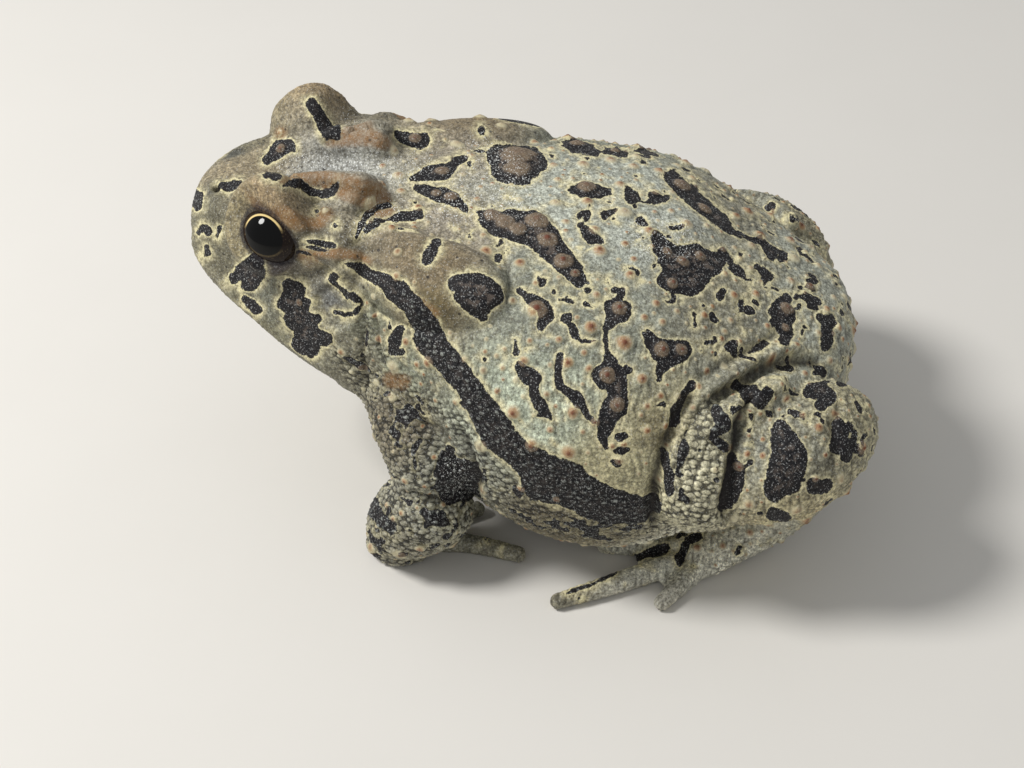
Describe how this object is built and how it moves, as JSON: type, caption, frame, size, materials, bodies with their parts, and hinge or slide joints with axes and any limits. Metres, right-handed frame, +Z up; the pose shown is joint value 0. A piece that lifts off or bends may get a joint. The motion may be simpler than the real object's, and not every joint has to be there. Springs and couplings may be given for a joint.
{
  "type": "southern toad",
  "caption": "Crouched toad at life size: broad warty trunk, crested head with swollen glands, folded hind legs with long toes.",
  "frame": {"origin": "centre of the bounding box in plan, on the ground that the hands, feet and belly rest on", "axes": "+X towards the animal's own left side, -Y forwards past its snout, +Z up"},
  "size_m": [0.0572, 0.08, 0.0431],
  "materials": {
    "head_surface": "matt and granular",
    "lower_jaw_surface": "matt and granular",
    "torso_surface": "matt and warty",
    "eye_left_surface": "wet and glossy",
    "eye_right_surface": "wet and glossy",
    "eardrum_left_surface": "dull",
    "eardrum_right_surface": "dull",
    "parotoid_gland_left_surface": "matt and pitted",
    "parotoid_gland_right_surface": "matt and pitted",
    "upper_arm_left_surface": "matt and granular",
    "upper_arm_right_surface": "matt and granular",
    "forearm_left_surface": "matt and granular",
    "forearm_right_surface": "matt and granular",
    "hand_left_surface": "matt and granular",
    "hand_right_surface": "matt and granular",
    "thigh_left_surface": "matt and granular",
    "thigh_right_surface": "matt and granular",
    "shank_left_surface": "matt and warty",
    "shank_right_surface": "matt and warty",
    "foot_left_surface": "matt and granular",
    "foot_right_surface": "matt and granular"
  },
  "bodies": {
    "root": {"head": "head_surface", "lower_jaw": "lower_jaw_surface", "torso": "torso_surface", "eye_left": "eye_left_surface", "eye_right": "eye_right_surface", "eardrum_left": "eardrum_left_surface", "eardrum_right": "eardrum_right_surface", "parotoid_gland_left": "parotoid_gland_left_surface", "parotoid_gland_right": "parotoid_gland_right_surface", "upper_arm_left": "upper_arm_left_surface", "upper_arm_right": "upper_arm_right_surface", "forearm_left": "forearm_left_surface", "forearm_right": "forearm_right_surface", "hand_left": "hand_left_surface", "hand_right": "hand_right_surface", "thigh_left": "thigh_left_surface", "thigh_right": "thigh_right_surface", "shank_left": "shank_left_surface", "shank_right": "shank_right_surface", "foot_left": "foot_left_surface", "foot_right": "foot_right_surface"}
  },
  "joints": []
}
